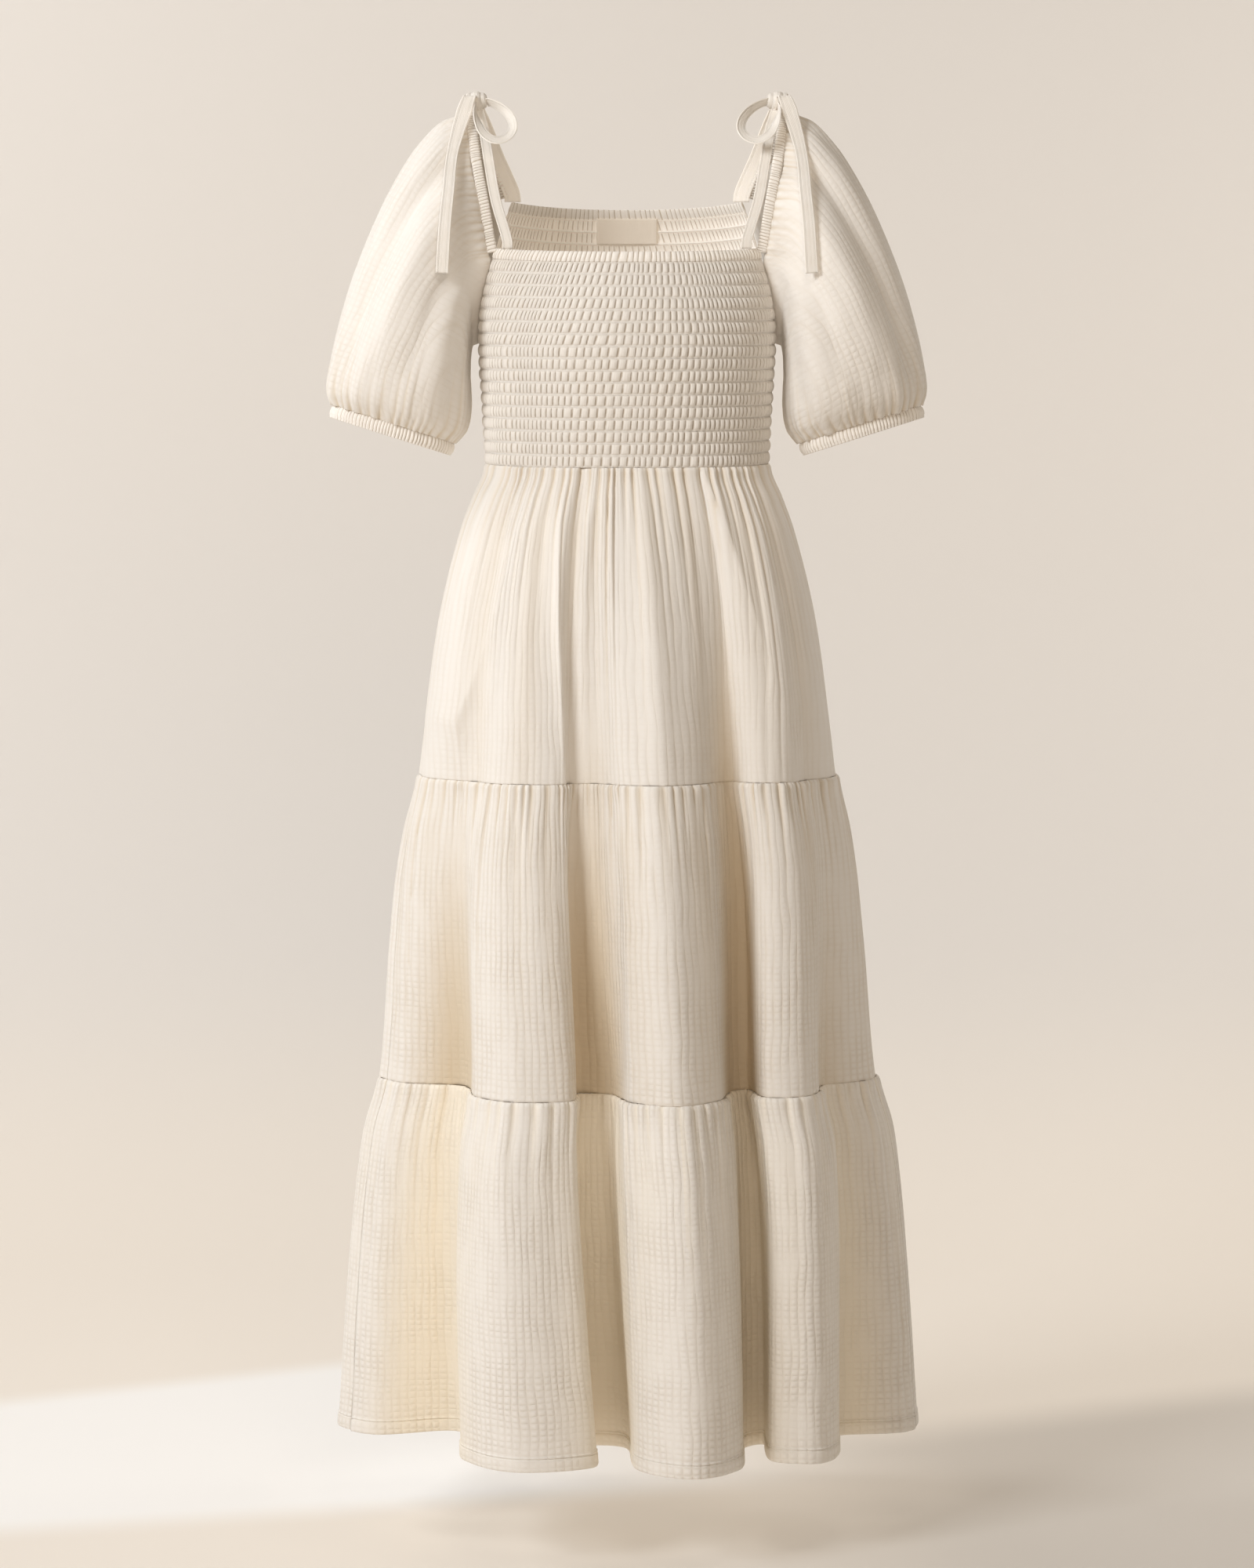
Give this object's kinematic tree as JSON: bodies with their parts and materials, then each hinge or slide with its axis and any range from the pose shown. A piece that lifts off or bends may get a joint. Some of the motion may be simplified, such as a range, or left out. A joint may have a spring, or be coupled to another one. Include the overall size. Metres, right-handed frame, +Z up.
{
  "type": "peasant dress",
  "caption": "Tiered peasant maxi dress in cream double gauze, with a shirred square-neck bodice, puff sleeves with elastic cuffs and shoulder ties, in its worn shape.",
  "frame": {"origin": "midway between the two shoulder ties, at the height where the wearer's shoulders hold the dress", "axes": "+Z up, +X to the viewer's right from the front, the front faces -Y"},
  "size_m": [0.6094, 0.4786, 1.3655],
  "materials": {
    "double_gauze": "matt crinkled double gauze cotton, cream",
    "tape": "flat folded cotton tape, cream, stitched along its edges",
    "label_cloth": "plain woven tape, blank"
  },
  "bodies": {
    "root": {"bodice_front": "double_gauze", "bodice_back": "double_gauze", "neck_band_front": "double_gauze", "neck_band_back": "double_gauze", "tier_1_front": "double_gauze", "tier_1_back": "double_gauze", "tier_2_front": "double_gauze", "tier_2_back": "double_gauze", "tier_3_front": "double_gauze", "tier_3_back": "double_gauze", "sleeve_left": "double_gauze", "cuff_left": "double_gauze", "sleeve_edge_left": "double_gauze", "sleeve_right": "double_gauze", "cuff_right": "double_gauze", "sleeve_edge_right": "double_gauze", "strap_front_left": "tape", "strap_back_left": "tape", "knot_left": "tape", "loop_left": "tape", "tail_left": "tape", "strap_front_right": "tape", "strap_back_right": "tape", "knot_right": "tape", "loop_right": "tape", "tail_right": "tape", "label": "label_cloth"}
  },
  "joints": []
}
